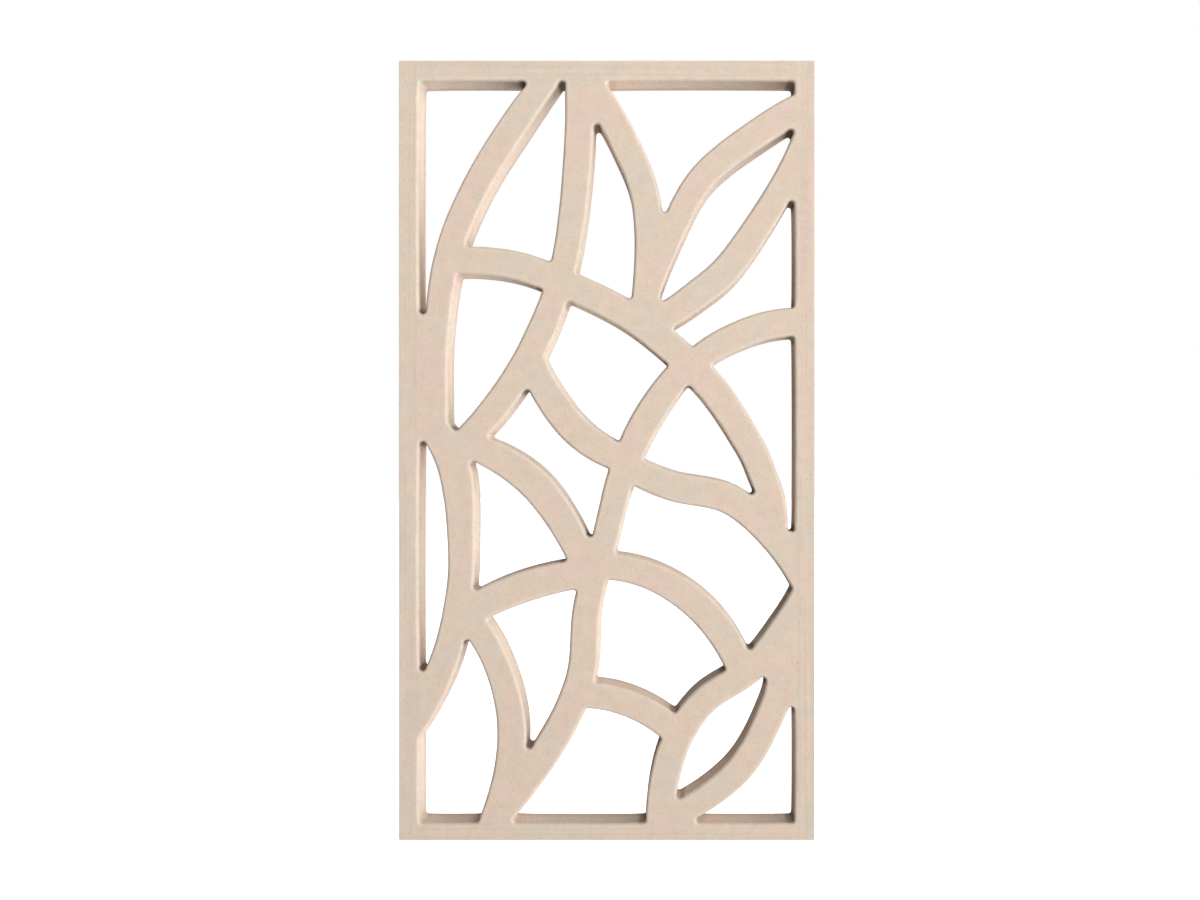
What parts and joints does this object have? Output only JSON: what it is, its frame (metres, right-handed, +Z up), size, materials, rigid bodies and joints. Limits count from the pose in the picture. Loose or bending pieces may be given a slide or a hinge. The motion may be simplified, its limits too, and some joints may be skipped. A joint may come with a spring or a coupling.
{
  "type": "jali screen panel",
  "caption": "Upright flat screen panel of thick pale fibreboard, routed right through in a net of crossing curved ribs inside a plain narrow border.",
  "frame": {"origin": "middle of the bottom edge face, half-way through the thickness, where the panel is held", "axes": "+Z up along the height, +X to the panel's right seen from its front, -Y out of the front face"},
  "size_m": [0.48, 0.03, 0.9],
  "materials": {
    "fibreboard": "bare medium-density fibreboard, matt, pale peach beige"
  },
  "bodies": {
    "root": {"jali_panel": "fibreboard"}
  },
  "joints": []
}
